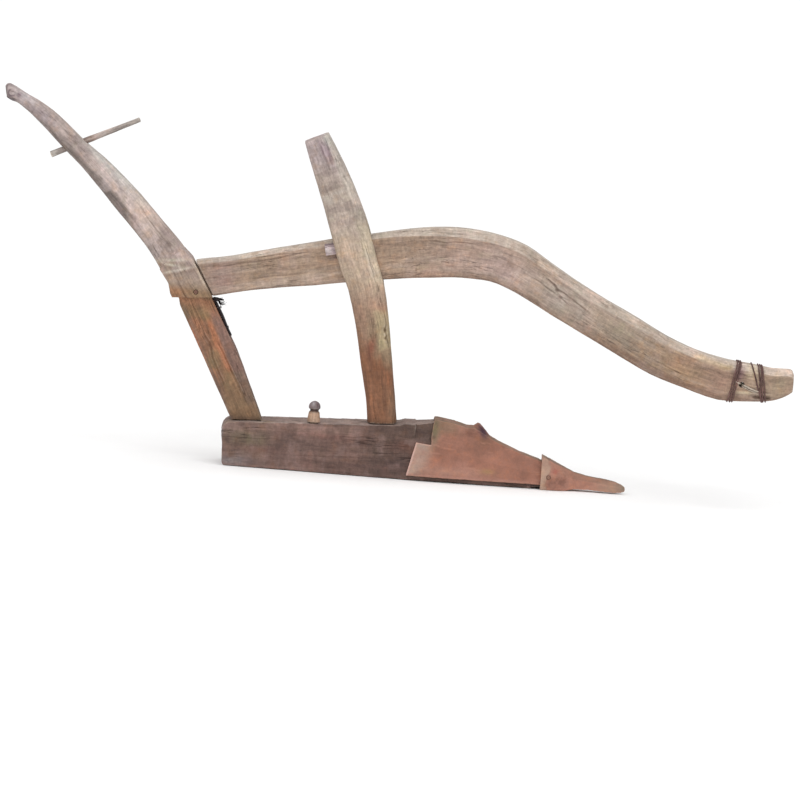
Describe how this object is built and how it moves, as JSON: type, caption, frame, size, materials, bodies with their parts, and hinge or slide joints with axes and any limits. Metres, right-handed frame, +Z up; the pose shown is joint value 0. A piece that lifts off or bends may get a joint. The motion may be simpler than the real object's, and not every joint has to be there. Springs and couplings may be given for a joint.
{
  "type": "walking plow",
  "caption": "Wooden draught plow with a flat sole, curved handle, upright strut, long bent beam and a sliding iron share with a socketed point.",
  "frame": {"origin": "on the underside of the sole, straight below the strut's foot, in the plow's middle plane", "axes": "+X forwards, towards the draught animal and the share's point; +Y to the plow's left; +Z up"},
  "size_m": [1.866, 0.1308, 0.8358],
  "materials": {
    "handle_wood": "bare, weathered, grey at the grip",
    "strut_wood": "bare, weathered, orange-brown at the foot",
    "beam_wood": "bare, worn, lighter along its top",
    "sole_wood": "earth-stained, dark red-brown",
    "small_wood": "whittled, bare",
    "share_iron": "rusted, scoured by soil",
    "dark_iron": "black, scaled",
    "wire": "rusted wire"
  },
  "bodies": {
    "frame": {"sole": "sole_wood", "handle": "handle_wood", "strut": "strut_wood", "grip_peg": "small_wood", "tie_peg": "small_wood", "handle_foot_wedge": "small_wood", "strut_foot_wedge": "small_wood", "handle_foot_peg": "small_wood", "strut_foot_peg": "small_wood", "pivot_pin": "dark_iron", "corner_strap": "dark_iron", "strap_nails": "dark_iron", "share_shim": "small_wood"},
    "draught_beam": {"beam": "beam_wood", "rear_binding": "wire", "front_binding": "wire"},
    "side_wedge": {"beam_wedge": "small_wood"},
    "share_assembly": {"share": "share_iron", "share_point": "share_iron", "point_rivets": "dark_iron"}
  },
  "joints": [
    {"name": "beam_pitch", "type": "hinge", "parent": "frame", "child": "draught_beam", "pos_m": [-0.453, 0, 0.393], "axis": [0, -1, 0], "range_deg": [0, 2.5]},
    {"name": "wedge_slide", "type": "slide", "parent": "frame", "child": "side_wedge", "axis": [-0.9766, 0, -0.2149], "range_m": [0, 0.085]},
    {"name": "share_slide", "type": "slide", "parent": "frame", "child": "share_assembly", "axis": [1, 0, 0], "range_m": [0, 0.35]}
  ]
}
